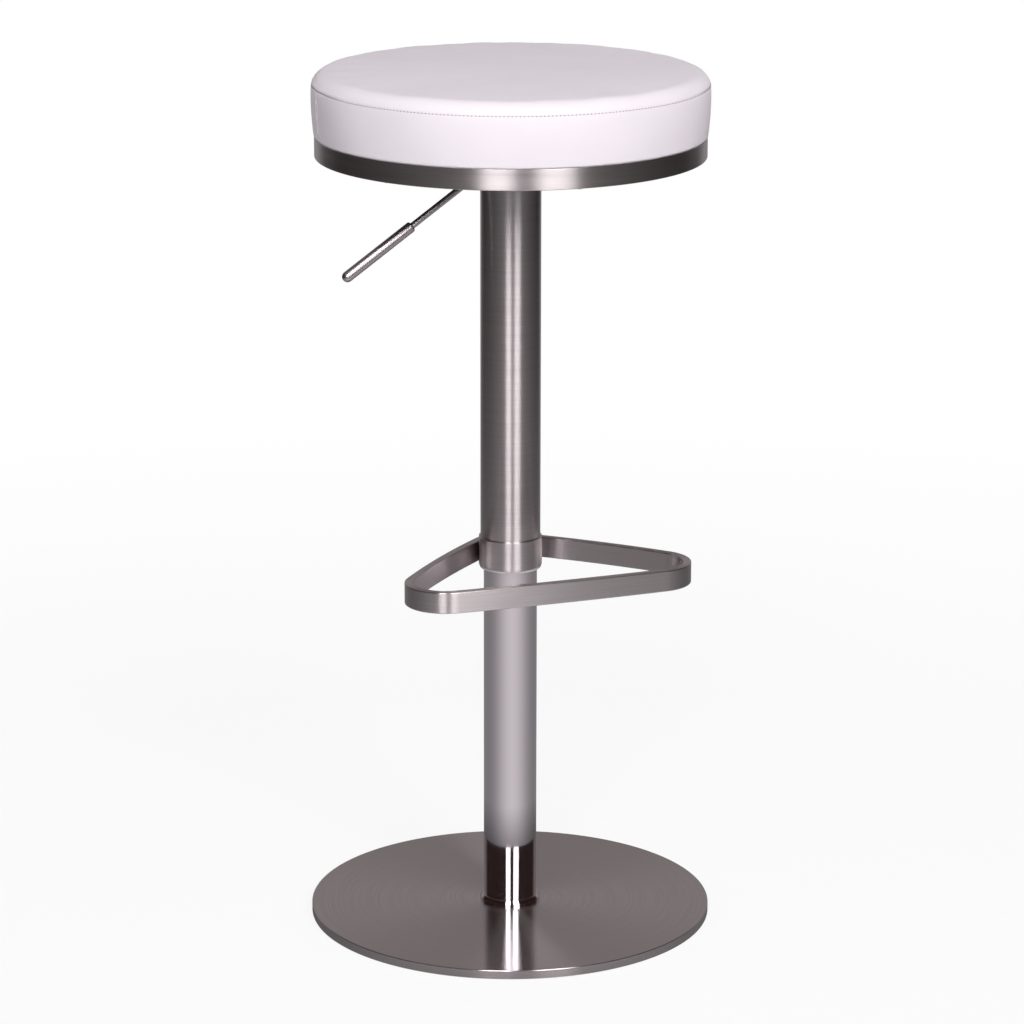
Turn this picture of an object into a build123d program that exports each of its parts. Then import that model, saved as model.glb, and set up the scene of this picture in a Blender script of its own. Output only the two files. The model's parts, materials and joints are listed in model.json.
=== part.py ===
from build123d import *

import math
import os

# Adjustable swivel stool on a gas lift. Millimetres, +Z up, origin on the floor at the column's axis.
# The sitter faces -Y, so the footrest points to -Y and the release lever lies on the -X side.
# The stool stands fully raised: the seat and the sleeve come down from here by the lift's stroke.

# ---- driving dimensions ----
STROKE = 250.0

# foot
BASE_R = 192.5
BASE_TOP = 9.0
COVER_SHEET = 1.2
COVER_RIM_GAP = 0.4
FLOOR_RING_R = (160.0, 184.0)
FLOOR_RING_TOP = 1.2
TRIM_COLLAR_R = 28.9
TRIM_COLLAR_HEIGHT = 6.5

# column
TUBE_R = 25.4
TUBE_WALL = 2.0
TUBE_BORE_R = TUBE_R - TUBE_WALL
GUIDE_LENGTH = 40.0
GUIDE_LIP = 2.5
FOOT_BOTTOM = BASE_TOP - COVER_SHEET
FOOT_TOP = 38.0
FOOT_SCREW_R = 3.0
FOOT_SCREW_CIRCLE_R = 17.0
FOOT_SCREWS = 4

# swivel bearing at the column's foot
RACE_BOTTOM = 20.0
RACE_THICK = 1.5
RACE_R = 16.0
RACE_GAP = 3.2
BALL_R = 1.3
BALL_CIRCLE_R = 10.5
BALLS = 10
CAGE_THICK = 1.4

# gas lift
ROD_R = 5.0
ROD_TAIL_R = 4.0
CYLINDER_R = 14.0
CYLINDER_BORE_R = 12.5
CYLINDER_BOTTOM = 375.0
CYLINDER_TOP = 722.0
CONE_BOTTOM = 690.0
CONE_TOP_R = 13.2
TUBE_TOP = CONE_BOTTOM - STROKE
PISTON_BOTTOM = 394.0
PISTON_LENGTH = 12.0
RUNNING_CLEARANCE = 0.06
PIN_R = 2.0
PIN_TOP = 727.2
VALVE_R = 6.0

# sleeve and footrest
SLEEVE_R = 28.5
SLEEVE_WALL = 1.5
SLEEVE_BORE_R = SLEEVE_R - SLEEVE_WALL
SLEEVE_BOTTOM = 347.6
SLEEVE_TOP = 716.0
BUSH_LIP = 2.2
BUSH_LENGTH = 44.0
COLLAR_R = 30.0
COLLAR_HEIGHT = 28.4
BAR_THICK = 8.0
BAR_HEIGHT = 20.0
BAR_BOTTOM = 347.9
CORNER_X = 102.0
CORNER_Y = 103.0
SIDE_BOW = 3.0
FRONT_BOW = 2.0

# lift housing and seat plate
HOUSING_SHEET = 2.5
HOUSING_X = (-31.0, 48.0)
HOUSING_HALF_WIDTH = 22.0
PLATE_BOTTOM = 741.0
PLATE_THICK = 3.0
PLATE_SIDE = 180.0
PLATE_HOLE_SPACING = 150.0
SOCKET_R = 18.0

# lever
PIVOT_X = -24.0
PIVOT_Z = 731.4
PIVOT_R = 3.0
HUB_R = 6.5
LEVER_ROD_R = 3.0
LEVER_SLOPE = 34.4
HANDLE_R = 5.2
HANDLE_START = 89.0
HANDLE_LENGTH = 81.5

# seat
BOARD_BOTTOM = PLATE_BOTTOM + PLATE_THICK
BOARD_THICK = 12.0
BOARD_R = 178.0
RING_R = 182.3
RING_WALL = 1.5
RING_BOTTOM = 742.0
RING_TOP = 761.2
RING_LIP_R = 171.0
SEAT_R = 185.0
SEAT_WAIST_R = 183.6
SEAT_SIDE_BOTTOM = 762.2
SEAT_SEAM = 809.0
SEAT_EDGE_R = 12.0
SEAT_EDGE_TOP = 820.6
SEAT_TOP = 824.0
COVER_THICK = 1.2
STAPLES = 16
SMALL_EDGE = 0.5


# ---- shapes used many times ----
def disc(radius, low, high):
    return Pos(0, 0, low) * Cylinder(radius, high - low, align=(Align.CENTER, Align.CENTER, Align.MIN))


def ring(inner, outer, low, high):
    return disc(outer, low, high) - disc(inner, low, high)


def turned(*points):
    """A solid of revolution about Z, from (radius, height) corners."""
    return revolve(Plane.XZ * Polygon(*points, align=None), Axis.Z)


def around(piece, count, start=0.0):
    """Copies of a piece spread evenly about Z."""
    return Compound([Rot(0, 0, start + 360 / count * i) * piece for i in range(count)])


def at_corners(piece, half_x, half_y):
    return Compound([Pos(x, y, 0) * piece for x in (-half_x, half_x) for y in (-half_y, half_y)])


def screw(shank_r, head_r, head_low, head_high, tip):
    """A socket-head screw along Z. Its head lies between two heights and its shank runs to the tip."""
    shank_start = head_high if tip > head_high else head_low
    low, high = sorted((shank_start, tip))
    body = disc(head_r, head_low, head_high) + disc(shank_r, low, high)
    depth = 0.6 * (head_high - head_low)
    mouth = head_low if tip > head_high else head_high - depth
    return body - Pos(0, 0, mouth) * extrude(RegularPolygon(0.55 * head_r, 6), depth)


def along_lever(piece):
    """Carries a piece built up +Z from the origin to the pivot, pointing down the lever's outer arm."""
    return Pos(PIVOT_X, 0, PIVOT_Z) * Rot(0, -(90 + LEVER_SLOPE), 0) * piece


# ---- foot ----
def base_cover():
    top = disc(BASE_R, COVER_RIM_GAP, BASE_TOP)
    top = chamfer(top.edges().group_by(Axis.Z)[-1], SMALL_EDGE)
    hollow = disc(BASE_R - COVER_SHEET, COVER_RIM_GAP, FOOT_BOTTOM)
    return top - hollow - disc(TUBE_BORE_R, FOOT_BOTTOM, BASE_TOP)


def base_weight():
    plate = disc(BASE_R - COVER_SHEET - 0.4, FLOOR_RING_TOP, FOOT_BOTTOM)
    well = disc(FOOT_SCREW_R + 2.6, FLOOR_RING_TOP, FOOT_BOTTOM - 2.3)
    hole = disc(FOOT_SCREW_R + 0.3, FLOOR_RING_TOP, FOOT_BOTTOM)
    cuts = around(Pos(FOOT_SCREW_CIRCLE_R, 0, 0) * (well + hole), FOOT_SCREWS, 45)
    return plate - cuts.solids()


def floor_ring():
    return ring(*FLOOR_RING_R, 0, FLOOR_RING_TOP)


def column_foot():
    """Plug welded in the tube's end. It carries the swivel bearing and takes the foot screws."""
    plug = disc(TUBE_BORE_R, FOOT_BOTTOM, FOOT_TOP)
    plug -= disc(11.0, FOOT_BOTTOM, RACE_BOTTOM - 4)
    plug -= disc(ROD_TAIL_R + RUNNING_CLEARANCE, FOOT_BOTTOM, FOOT_TOP)
    plug -= disc(RACE_R + 1, RACE_BOTTOM, FOOT_TOP)
    tapped = Pos(FOOT_SCREW_CIRCLE_R, 0, 0) * disc(FOOT_SCREW_R, FOOT_BOTTOM, RACE_BOTTOM - 2)
    return plug - around(tapped, FOOT_SCREWS, 45).solids()


def foot_screws():
    head_high = FOOT_BOTTOM - 2.3
    one = screw(FOOT_SCREW_R, 5.0, head_high - 3.2, head_high, RACE_BOTTOM - 3)
    return around(Pos(FOOT_SCREW_CIRCLE_R, 0, 0) * one, FOOT_SCREWS, 45)


def column_trim_ring():
    """Bevelled ring that covers the joint between the tube and the foot."""
    top = BASE_TOP + TRIM_COLLAR_HEIGHT
    inner = TUBE_R + 0.05
    return turned((inner, BASE_TOP), (TRIM_COLLAR_R, BASE_TOP), (TRIM_COLLAR_R, BASE_TOP + 1.4),
                  (inner + 1.2, top), (inner, top))


def column_tube():
    return ring(TUBE_BORE_R, TUBE_R, BASE_TOP, TUBE_TOP)


def tube_guide_bush():
    """Plastic bush in the tube's mouth that guides the gas cylinder."""
    bore = CYLINDER_R + RUNNING_CLEARANCE + 0.02
    return ring(bore, TUBE_BORE_R, TUBE_TOP - GUIDE_LENGTH, TUBE_TOP) + ring(
        bore, TUBE_R, TUBE_TOP, TUBE_TOP + GUIDE_LIP)


# ---- swivel bearing ----
def race(low):
    return ring(ROD_TAIL_R, RACE_R, low, low + RACE_THICK)


def lower_race():
    return race(RACE_BOTTOM) - disc(ROD_TAIL_R + 0.5, RACE_BOTTOM, RACE_BOTTOM + RACE_THICK)


def ball_height():
    return RACE_BOTTOM + RACE_THICK + RACE_GAP / 2


def bearing_balls():
    return around(Pos(BALL_CIRCLE_R, 0, ball_height()) * Sphere(BALL_R), BALLS)


def bearing_cage():
    middle = ball_height()
    plate = ring(6.5, RACE_R - 1.5, middle - CAGE_THICK / 2, middle + CAGE_THICK / 2)
    pocket = disc(BALL_R + 0.15, middle - CAGE_THICK, middle + CAGE_THICK)
    return plate - around(Pos(BALL_CIRCLE_R, 0, 0) * pocket, BALLS).solids()


def upper_race():
    return race(upper_race_bottom())


def upper_race_bottom():
    return RACE_BOTTOM + RACE_THICK + RACE_GAP


# ---- gas lift: the rod and what is on it ----
def rod_shoulder():
    return upper_race_bottom() + RACE_THICK


def piston_rod():
    tail_low = FOOT_BOTTOM + 2.2
    top = PISTON_BOTTOM + PISTON_LENGTH + 6
    rod = disc(ROD_TAIL_R, tail_low, rod_shoulder()) + disc(ROD_R, rod_shoulder(), PISTON_BOTTOM)
    rod += disc(ROD_TAIL_R, PISTON_BOTTOM, top)
    return rod - ring(ROD_TAIL_R - 0.8, ROD_TAIL_R, *clip_span())


def clip_span():
    high = RACE_BOTTOM - 4 - 1.4
    return high - 1.2, high


def rod_clip():
    """Spring clip in the rod's groove, open on one side."""
    low, high = clip_span()
    clip = ring(ROD_TAIL_R - 0.8, 7.5, low, high)
    return clip - Pos(6, 0, (low + high) / 2) * Box(12, 3.4, 4)


def clip_washer():
    low = clip_span()[1]
    return ring(ROD_TAIL_R, 9.0, low, low + 1.0)


def bump_stop():
    """Rubber buffer on the rod, above the bearing."""
    low = rod_shoulder()
    return turned((ROD_R, low), (13, low), (13, low + 4), (10, low + 8), (ROD_R, low + 8))


def piston():
    body = ring(ROD_TAIL_R, CYLINDER_BORE_R - 0.35, PISTON_BOTTOM, PISTON_BOTTOM + PISTON_LENGTH)
    return body - seal_ring()


def seal_ring():
    middle = PISTON_BOTTOM + PISTON_LENGTH / 2
    return ring(CYLINDER_BORE_R - 2.5, CYLINDER_BORE_R - RUNNING_CLEARANCE, middle - 1.2, middle + 1.2)


def piston_nut():
    low = PISTON_BOTTOM + PISTON_LENGTH
    return Pos(0, 0, low) * extrude(RegularPolygon(7.5, 6) - Circle(ROD_TAIL_R), 5)


# ---- gas lift: the cylinder and what is in it ----
def cylinder_cap_bottom():
    return CONE_BOTTOM - 22


def gas_cylinder():
    outside = turned((0, CYLINDER_BOTTOM), (CYLINDER_R, CYLINDER_BOTTOM), (CYLINDER_R, CONE_BOTTOM),
                     (CONE_TOP_R, CYLINDER_TOP), (0, CYLINDER_TOP))
    bore = disc(CYLINDER_BORE_R, CYLINDER_BOTTOM, cylinder_cap_bottom())
    seat = disc(VALVE_R, CONE_BOTTOM - 10, CYLINDER_TOP)
    return outside - bore - seat - disc(PIN_R + 1, cylinder_cap_bottom(), CONE_BOTTOM - 10)


def cylinder_end_guide():
    """Guide and gland that the rod passes through, at the cylinder's open end."""
    return ring(ROD_R + RUNNING_CLEARANCE, CYLINDER_BORE_R, CYLINDER_BOTTOM + 1, CYLINDER_BOTTOM + 11)


def rod_seal():
    return ring(ROD_R + RUNNING_CLEARANCE, CYLINDER_BORE_R, CYLINDER_BOTTOM + 11, CYLINDER_BOTTOM + 15)


def valve_pocket_bottom():
    return CONE_BOTTOM


def valve_body():
    low, high = CONE_BOTTOM - 10, CYLINDER_TOP - 2
    return disc(VALVE_R, low, high) - disc(PIN_R + RUNNING_CLEARANCE, low, high) - disc(
        3.6, valve_pocket_bottom(), high)


def valve_cap():
    """Screwed cap that keeps the release pin and its spring in the valve."""
    return ring(PIN_R + RUNNING_CLEARANCE, 3.6, CYLINDER_TOP - 12, CYLINDER_TOP - 2)


def pin_collar_bottom():
    return CYLINDER_TOP - 16


def valve_spring():
    wire, radius = 0.35, 2.85
    low, high = valve_pocket_bottom() + wire, pin_collar_bottom() - wire
    coil = Pos(0, 0, low) * Helix(pitch=2.4, height=high - low, radius=radius)
    start = Plane(origin=coil @ 0, z_dir=coil % 0)
    return sweep(start * Circle(wire), path=coil)


def release_pin():
    low = CONE_BOTTOM - 14
    pin = disc(PIN_R, low, PIN_TOP) + disc(3.25, pin_collar_bottom(), pin_collar_bottom() + 2)
    return fillet(pin.edges().group_by(Axis.Z)[-1], 1.2)


# ---- housing between the lift and the seat ----
def cone_socket():
    """Steel socket that the cylinder's cone jams into, welded in the housing's floor."""
    low, high = CONE_BOTTOM + 4, CYLINDER_TOP
    slope = (CYLINDER_R - CONE_TOP_R) / (CYLINDER_TOP - CONE_BOTTOM)
    low_r = CYLINDER_R - slope * (low - CONE_BOTTOM)
    return turned((low_r, low), (SOCKET_R, low), (SOCKET_R, high), (CONE_TOP_R, high))


def lift_housing():
    """Channel of bent sheet, open above and at its ends."""
    x_low, x_high = HOUSING_X
    middle, length = (x_low + x_high) / 2, x_high - x_low
    height = PLATE_BOTTOM - SLEEVE_TOP
    outside = Pos(middle, 0, SLEEVE_TOP + height / 2) * Box(length, 2 * HOUSING_HALF_WIDTH, height)
    inside_width = 2 * (HOUSING_HALF_WIDTH - HOUSING_SHEET)
    inside = Pos(middle, 0, SLEEVE_TOP + HOUSING_SHEET + height / 2) * Box(length, inside_width, height)
    channel = outside - inside - disc(SOCKET_R, SLEEVE_TOP, CYLINDER_TOP)
    channel -= pivot_bar(PIVOT_R)
    return channel - flange_screw_places(disc(2.0, SLEEVE_TOP - 5, SLEEVE_TOP + HOUSING_SHEET)).solids()


def pivot_bar(radius):
    across = Rot(90, 0, 0) * Cylinder(radius, 2 * HOUSING_HALF_WIDTH)
    return Pos(PIVOT_X, 0, PIVOT_Z) * across


def pivot_pin():
    """Pin that the lever turns on, with a small head outside each wall."""
    head_y = HOUSING_HALF_WIDTH + 0.8
    heads = [Pos(PIVOT_X, side * head_y, PIVOT_Z) * Rot(90, 0, 0) * Cylinder(4.5, 1.6) for side in (-1, 1)]
    return pivot_bar(PIVOT_R) + heads


def flange_screw_places(piece):
    return Compound([Rot(0, 0, angle) * Pos(22.5, 0, 0) * piece for angle in (40, 140, 220, 320)])


def sleeve_flange():
    """Disc welded in the sleeve's top, screwed up against the housing's floor."""
    flange = ring(SOCKET_R, SLEEVE_BORE_R, SLEEVE_TOP - 5, SLEEVE_TOP)
    return flange - flange_screw_places(disc(2.0, SLEEVE_TOP - 5, SLEEVE_TOP)).solids()


def flange_screws():
    floor = SLEEVE_TOP + HOUSING_SHEET
    return flange_screw_places(screw(2.0, 3.5, floor, floor + 2.5, SLEEVE_TOP - 4.5))


def seat_plate():
    """Steel plate on top of the housing, with a pressed-in corner radius and four screw holes."""
    plate = extrude(RectangleRounded(PLATE_SIDE, PLATE_SIDE, 14), PLATE_THICK)
    holes = at_corners(disc(3.4, 0, PLATE_THICK), PLATE_HOLE_SPACING / 2, PLATE_HOLE_SPACING / 2)
    return Pos(0, 0, PLATE_BOTTOM) * (plate - holes.solids())


# ---- sleeve and footrest ----
def set_screw_places(piece):
    """Two places at the back of the collar, for a piece that points along +X."""
    return Compound([Rot(0, 0, angle) * piece for angle in (60, 120)])


def set_screw_bore(radius, start, end):
    middle = (start + end) / 2
    return Pos(middle, 0, BAR_BOTTOM + BAR_HEIGHT / 2) * Rot(0, 90, 0) * Cylinder(radius, end - start)


def outer_sleeve():
    return ring(SLEEVE_BORE_R, SLEEVE_R, SLEEVE_BOTTOM, SLEEVE_TOP)


def sleeve_guide_bush():
    """Plastic bush in the sleeve's lower end that slides and turns on the column tube."""
    bore = TUBE_R + RUNNING_CLEARANCE + 0.02
    lip = ring(bore, SLEEVE_R + 0.7, SLEEVE_BOTTOM - BUSH_LIP, SLEEVE_BOTTOM)
    lip = fillet(lip.edges().group_by(Axis.Z)[0], SMALL_EDGE)
    return lip + ring(bore, SLEEVE_BORE_R, SLEEVE_BOTTOM, SLEEVE_BOTTOM + BUSH_LENGTH)


def footrest_collar():
    collar = disc(COLLAR_R, SLEEVE_BOTTOM, SLEEVE_BOTTOM + COLLAR_HEIGHT)
    collar = fillet(collar.edges().filter_by(GeomType.CIRCLE), SMALL_EDGE)
    collar -= disc(SLEEVE_R, SLEEVE_BOTTOM, SLEEVE_BOTTOM + COLLAR_HEIGHT)
    return collar - set_screw_places(set_screw_bore(3.0, SLEEVE_R - 1, COLLAR_R + 1)).solids()


def footrest_loop():
    """Flat bar bent into a triangle with round corners and slightly bowed sides, wrapped round the collar."""
    apex, left, right = (0, 0), (-CORNER_X, -CORNER_Y), (CORNER_X, -CORNER_Y)
    core = make_face([
        SagittaArc(apex, right, SIDE_BOW), SagittaArc(right, left, FRONT_BOW), SagittaArc(left, apex, SIDE_BOW)])
    outline = offset(core, COLLAR_R + BAR_THICK) - offset(core, COLLAR_R)
    bar = Pos(0, 0, BAR_BOTTOM) * extrude(outline, BAR_HEIGHT)
    rims = bar.edges().group_by(Axis.Z)
    bar = fillet(rims[0] + rims[-1], SMALL_EDGE)
    return bar - set_screw_places(set_screw_bore(3.0, COLLAR_R - 1, COLLAR_R + BAR_THICK + 1)).solids()


def footrest_set_screws():
    """Headless socket screws that lock the bar and the collar to the sleeve."""
    end = COLLAR_R + BAR_THICK - 1.5
    body = set_screw_bore(3.0, SLEEVE_R, end)
    key = Pos(end - 1.5, 0, BAR_BOTTOM + BAR_HEIGHT / 2) * Rot(0, 90, 0) * extrude(RegularPolygon(1.7, 6), 3)
    return set_screw_places(body - key)


# ---- release lever ----
def lever_hub():
    """Short tube that turns on the pivot pin. Both arms are welded to it."""
    across = Rot(90, 0, 0) * (Cylinder(HUB_R, 18) - Cylinder(PIVOT_R + RUNNING_CLEARANCE, 18))
    return Pos(PIVOT_X, 0, PIVOT_Z) * across


def hub_space():
    return Pos(PIVOT_X, 0, PIVOT_Z) * Rot(90, 0, 0) * Cylinder(HUB_R, 18)


def press_arm():
    """Inner arm, whose end lies over the release pin."""
    reach = 4.0 - PIVOT_X
    arm = Pos(PIVOT_X, 0, PIN_TOP + 0.3 + LEVER_ROD_R) * Rot(0, 90, 0) * Cylinder(
        LEVER_ROD_R, reach, align=(Align.CENTER, Align.CENTER, Align.MIN))
    return arm - hub_space()


def lever_rod():
    arm = along_lever(disc(LEVER_ROD_R, 0, HANDLE_START + 24))
    return arm - hub_space()


def lever_handle():
    """Polished grip with a round end and a softened shoulder."""
    end = HANDLE_START + HANDLE_LENGTH
    grip = disc(HANDLE_R, HANDLE_START, end - HANDLE_R) + Pos(0, 0, end - HANDLE_R) * Sphere(HANDLE_R)
    grip = fillet(grip.edges().group_by(Axis.Z)[0], 1.4)
    return along_lever(grip - disc(LEVER_ROD_R, HANDLE_START, HANDLE_START + 24))


# ---- seat ----
def board_hole_places(piece):
    half = PLATE_HOLE_SPACING / 2
    return at_corners(piece, half, half)


def tee_nut():
    top = BOARD_BOTTOM + BOARD_THICK
    return ring(3.0, 4.4, BOARD_BOTTOM + 2, top) + ring(3.0, 9.0, top, top + 1.2)


def board_tee_nuts():
    return board_hole_places(tee_nut())


def seat_screws():
    return board_hole_places(screw(3.0, 5.5, PLATE_BOTTOM - 3.2, PLATE_BOTTOM, BOARD_BOTTOM + 11))


def trim_screw_places(piece):
    return around(Pos(RING_LIP_R + 3.5, 0, 0) * piece, 6, 30)


def trim_ring_screws():
    shank_top = BOARD_BOTTOM + 8
    return trim_screw_places(screw(1.6, 2.9, RING_BOTTOM - 1.6, RING_BOTTOM, shank_top))


def staple():
    """One staple across the dust cover's edge, with its legs in the board."""
    crown = Pos(164, 0, BOARD_BOTTOM - 1.1) * Box(0.6, 11, 0.6)
    legs = [Pos(164, side * 5.2, BOARD_BOTTOM + 2.1) * Box(0.6, 0.6, 5.8) for side in (-1, 1)]
    return crown + legs


def dust_cover_staples():
    return around(staple(), STAPLES, 11.25)


def seat_board():
    top = BOARD_BOTTOM + BOARD_THICK
    board = disc(BOARD_R, BOARD_BOTTOM, top)
    board -= board_hole_places(disc(4.4, BOARD_BOTTOM, top)).solids()
    board -= trim_screw_places(disc(1.6, BOARD_BOTTOM, BOARD_BOTTOM + 8)).solids()
    return board - dust_cover_staples().solids()


def dust_cover():
    """Non-woven cloth under the board, cut out around the seat plate."""
    cloth = disc(RING_LIP_R - 1, BOARD_BOTTOM - 0.8, BOARD_BOTTOM)
    window = Pos(0, 0, BOARD_BOTTOM) * Box(PLATE_SIDE + 3, PLATE_SIDE + 3, 4)
    return cloth - window - dust_cover_staples().solids()


def seat_trim_ring():
    """Steel hoop around the foot of the cushion, with a lip that turns in under the board."""
    hoop = turned((RING_R - RING_WALL, RING_BOTTOM + RING_WALL), (RING_LIP_R, RING_BOTTOM + RING_WALL),
                  (RING_LIP_R, RING_BOTTOM), (RING_R - SMALL_EDGE, RING_BOTTOM),
                  (RING_R, RING_BOTTOM + SMALL_EDGE), (RING_R, RING_TOP - SMALL_EDGE),
                  (RING_R - SMALL_EDGE, RING_TOP), (RING_R - RING_WALL, RING_TOP))
    return hoop - trim_screw_places(disc(1.6, RING_BOTTOM, RING_BOTTOM + RING_WALL)).solids()


def crown_point(radius, inset):
    """A point on the cushion's shallow domed top, which is part of a sphere."""
    rim = SEAT_R - SEAT_EDGE_R
    rise = SEAT_TOP - SEAT_EDGE_TOP
    sphere_r = (rim ** 2 + rise ** 2) / (2 * rise) - inset
    return radius, SEAT_TOP - inset - sphere_r + math.sqrt(sphere_r ** 2 - radius ** 2)


def cushion_solid(inset, low):
    """The closed cushion body moved inwards by a distance, grown down inside the trim ring."""
    tucked = RING_R - RING_WALL - 0.8 - inset
    side_low = (SEAT_WAIST_R - inset, SEAT_SIDE_BOTTOM + inset)
    side_mid = (SEAT_R - inset, (SEAT_SIDE_BOTTOM + SEAT_SEAM) / 2)
    side_high = (SEAT_R - 0.6 - inset, SEAT_SEAM)
    shoulder = crown_point(SEAT_R - SEAT_EDGE_R - inset, inset)
    middle = (SEAT_R - 0.3 * SEAT_EDGE_R - inset, SEAT_SEAM + 0.7 * (SEAT_EDGE_TOP - SEAT_SEAM) - inset)
    crown = (0, SEAT_TOP - inset)
    lines = [
        Line((0, low), (tucked, low)),
        Line((tucked, low), (tucked, RING_TOP)),
        Line((tucked, RING_TOP), side_low),
        ThreePointArc(side_low, side_mid, side_high),
        ThreePointArc(side_high, middle, shoulder),
        ThreePointArc(shoulder, crown_point(shoulder[0] / 2, inset), crown),
        Line(crown, (0, low)),
    ]
    return revolve(Plane.XZ * make_face(lines), Axis.Z)


def tee_nut_room():
    top = BOARD_BOTTOM + BOARD_THICK
    return board_hole_places(disc(9.0, top, top + 1.2)).solids()


def seat_foam():
    return cushion_solid(COVER_THICK, BOARD_BOTTOM + BOARD_THICK) - tee_nut_room()


def cover_shell():
    """Leatherette all over the cushion, turned down beside the board inside the trim ring."""
    low = BOARD_BOTTOM + 1
    core = cushion_solid(COVER_THICK, BOARD_BOTTOM)
    return cushion_solid(0, low) - core - disc(BOARD_R, BOARD_BOTTOM, BOARD_BOTTOM + BOARD_THICK)


def cover_top():
    return cover_shell() & disc(SEAT_R + 10, SEAT_SEAM, SEAT_TOP + 10)


def cover_band():
    return cover_shell() - disc(SEAT_R + 10, SEAT_SEAM, SEAT_TOP + 10)


PIECES = [
    base_cover, base_weight, floor_ring, column_foot, foot_screws, column_trim_ring, column_tube,
    tube_guide_bush, lower_race,
    bearing_balls, bearing_cage,
    upper_race, piston_rod, rod_clip, clip_washer, bump_stop, piston, piston_nut,
    gas_cylinder, cylinder_end_guide, rod_seal, valve_body, valve_cap, valve_spring,
    cone_socket, lift_housing, pivot_pin, sleeve_flange, flange_screws, seat_plate,
    outer_sleeve, sleeve_guide_bush, footrest_collar, footrest_loop, footrest_set_screws,
    seat_board, board_tee_nuts, seat_screws, seat_trim_ring, trim_ring_screws,
    seat_foam, cover_top, cover_band, dust_cover, dust_cover_staples,
    lever_hub, press_arm, lever_rod, lever_handle,
    release_pin,
]


def nodes():
    """Every node's name with its shape."""
    made = {piece.__name__: piece() for piece in PIECES}
    made["piston_seal"] = seal_ring()
    return made


os.makedirs("parts", exist_ok=True)
for name, shape in nodes().items():
    export_step(shape, f"parts/{name}.step")
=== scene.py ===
import json
import math

import bmesh
import bpy
from mathutils import Matrix, Vector, kdtree, noise


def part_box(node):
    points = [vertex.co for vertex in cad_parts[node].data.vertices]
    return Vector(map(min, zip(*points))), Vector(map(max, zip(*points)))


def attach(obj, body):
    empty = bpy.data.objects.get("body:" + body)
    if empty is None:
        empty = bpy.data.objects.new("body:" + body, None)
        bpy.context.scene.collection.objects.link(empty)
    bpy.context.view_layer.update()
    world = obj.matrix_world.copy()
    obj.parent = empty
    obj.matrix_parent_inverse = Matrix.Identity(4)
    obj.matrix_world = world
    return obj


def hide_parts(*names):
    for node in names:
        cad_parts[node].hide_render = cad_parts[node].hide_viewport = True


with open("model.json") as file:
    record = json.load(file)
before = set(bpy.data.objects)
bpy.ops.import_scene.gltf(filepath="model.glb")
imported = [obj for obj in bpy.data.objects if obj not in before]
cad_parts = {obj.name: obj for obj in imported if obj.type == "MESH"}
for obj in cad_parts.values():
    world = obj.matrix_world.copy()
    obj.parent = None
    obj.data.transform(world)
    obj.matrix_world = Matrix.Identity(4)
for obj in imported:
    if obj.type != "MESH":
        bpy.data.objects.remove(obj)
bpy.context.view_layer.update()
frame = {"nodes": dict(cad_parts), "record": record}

# A height-adjustable bar stool: brushed stainless foot, sleeve, footrest and seat ring, a polished column,
# and a round cushion in white leatherette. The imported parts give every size; here they get their finish.
# Lengths in this file are millimetres, and MM turns them to Blender's metres.
MM = 0.001
ROUND_STEPS = 192          # facets round a turned part
VIEW_TURN = math.radians(20.5)   # the sitter's front lies this far to the right of where we stand


def size(node):
    """(outer radius, lowest, highest) in mm of a part that is turned about the column's axis."""
    low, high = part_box(node)
    return high.x / MM, low.z / MM, high.z / MM


def linked(name, data):
    """A new object in the scene."""
    made = bpy.data.objects.new(name, data)
    bpy.context.scene.collection.objects.link(made)
    return made


def meshed(made):
    """A mesh of its own from a finished bmesh."""
    mesh = bpy.data.meshes.new("made")
    made.to_mesh(mesh)
    made.free()
    return mesh


def outward(place):
    """The level direction from the column's axis to a place."""
    return Vector((place.x, place.y, 0)).normalized()


# ---------------------------------------------------------------- nodes and finishes
def linear(code, alpha=1.0):
    """An sRGB hex colour as the linear values that Blender's sockets take."""
    def channel(pair):
        c = int(pair, 16) / 255
        return c / 12.92 if c <= 0.04045 else ((c + 0.055) / 1.055) ** 2.4
    return tuple(channel(code[i:i + 2]) for i in (0, 2, 4)) + (alpha,)


def add(tree, kind, sockets=(), **settings):
    """One node with its own settings. Its sockets come by name or number, or in their order, and each takes
    a plain value, a node's output, or a node that stands for its first output."""
    node = tree.nodes.new(kind)
    for name, value in settings.items():
        setattr(node, name, value)
    for name, value in sockets.items() if isinstance(sockets, dict) else enumerate(sockets):
        if isinstance(value, bpy.types.Node):
            value = value.outputs[0]
        if isinstance(value, bpy.types.NodeSocket):
            tree.links.new(value, node.inputs[name])
        else:
            node.inputs[name].default_value = value
    return node


def empty_tree(owner):
    """The cleared node tree of a new material or world."""
    owner.use_nodes = True
    owner.node_tree.nodes.clear()
    return owner.node_tree


def finish(name, colour, roughness, metallic=0.0, **fixed):
    """A new finish: its tree, its shader, and the place on the piece in object coordinates."""
    material = bpy.data.materials.new(name)
    tree = empty_tree(material)
    shader = add(tree, "ShaderNodeBsdfPrincipled",
                 {"Base Color": linear(colour), "Roughness": roughness, "Metallic": metallic,
                  **{key.replace("_", " "): value for key, value in fixed.items()}})
    add(tree, "ShaderNodeOutputMaterial", {"Surface": shader})
    return material, tree, shader, add(tree, "ShaderNodeTexCoord").outputs["Object"]


def grain(tree, place, scale, detail=3.0, roughness=0.55, stretch=(1, 1, 1), distortion=0.0):
    """Noise on a place, with one period every 1/scale metres, pulled out by stretch."""
    spot = add(tree, "ShaderNodeVectorMath", (place, stretch), operation="MULTIPLY")
    return add(tree, "ShaderNodeTexNoise", {"Vector": spot, "Scale": scale, "Detail": detail,
                                            "Roughness": roughness, "Distortion": distortion})


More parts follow.
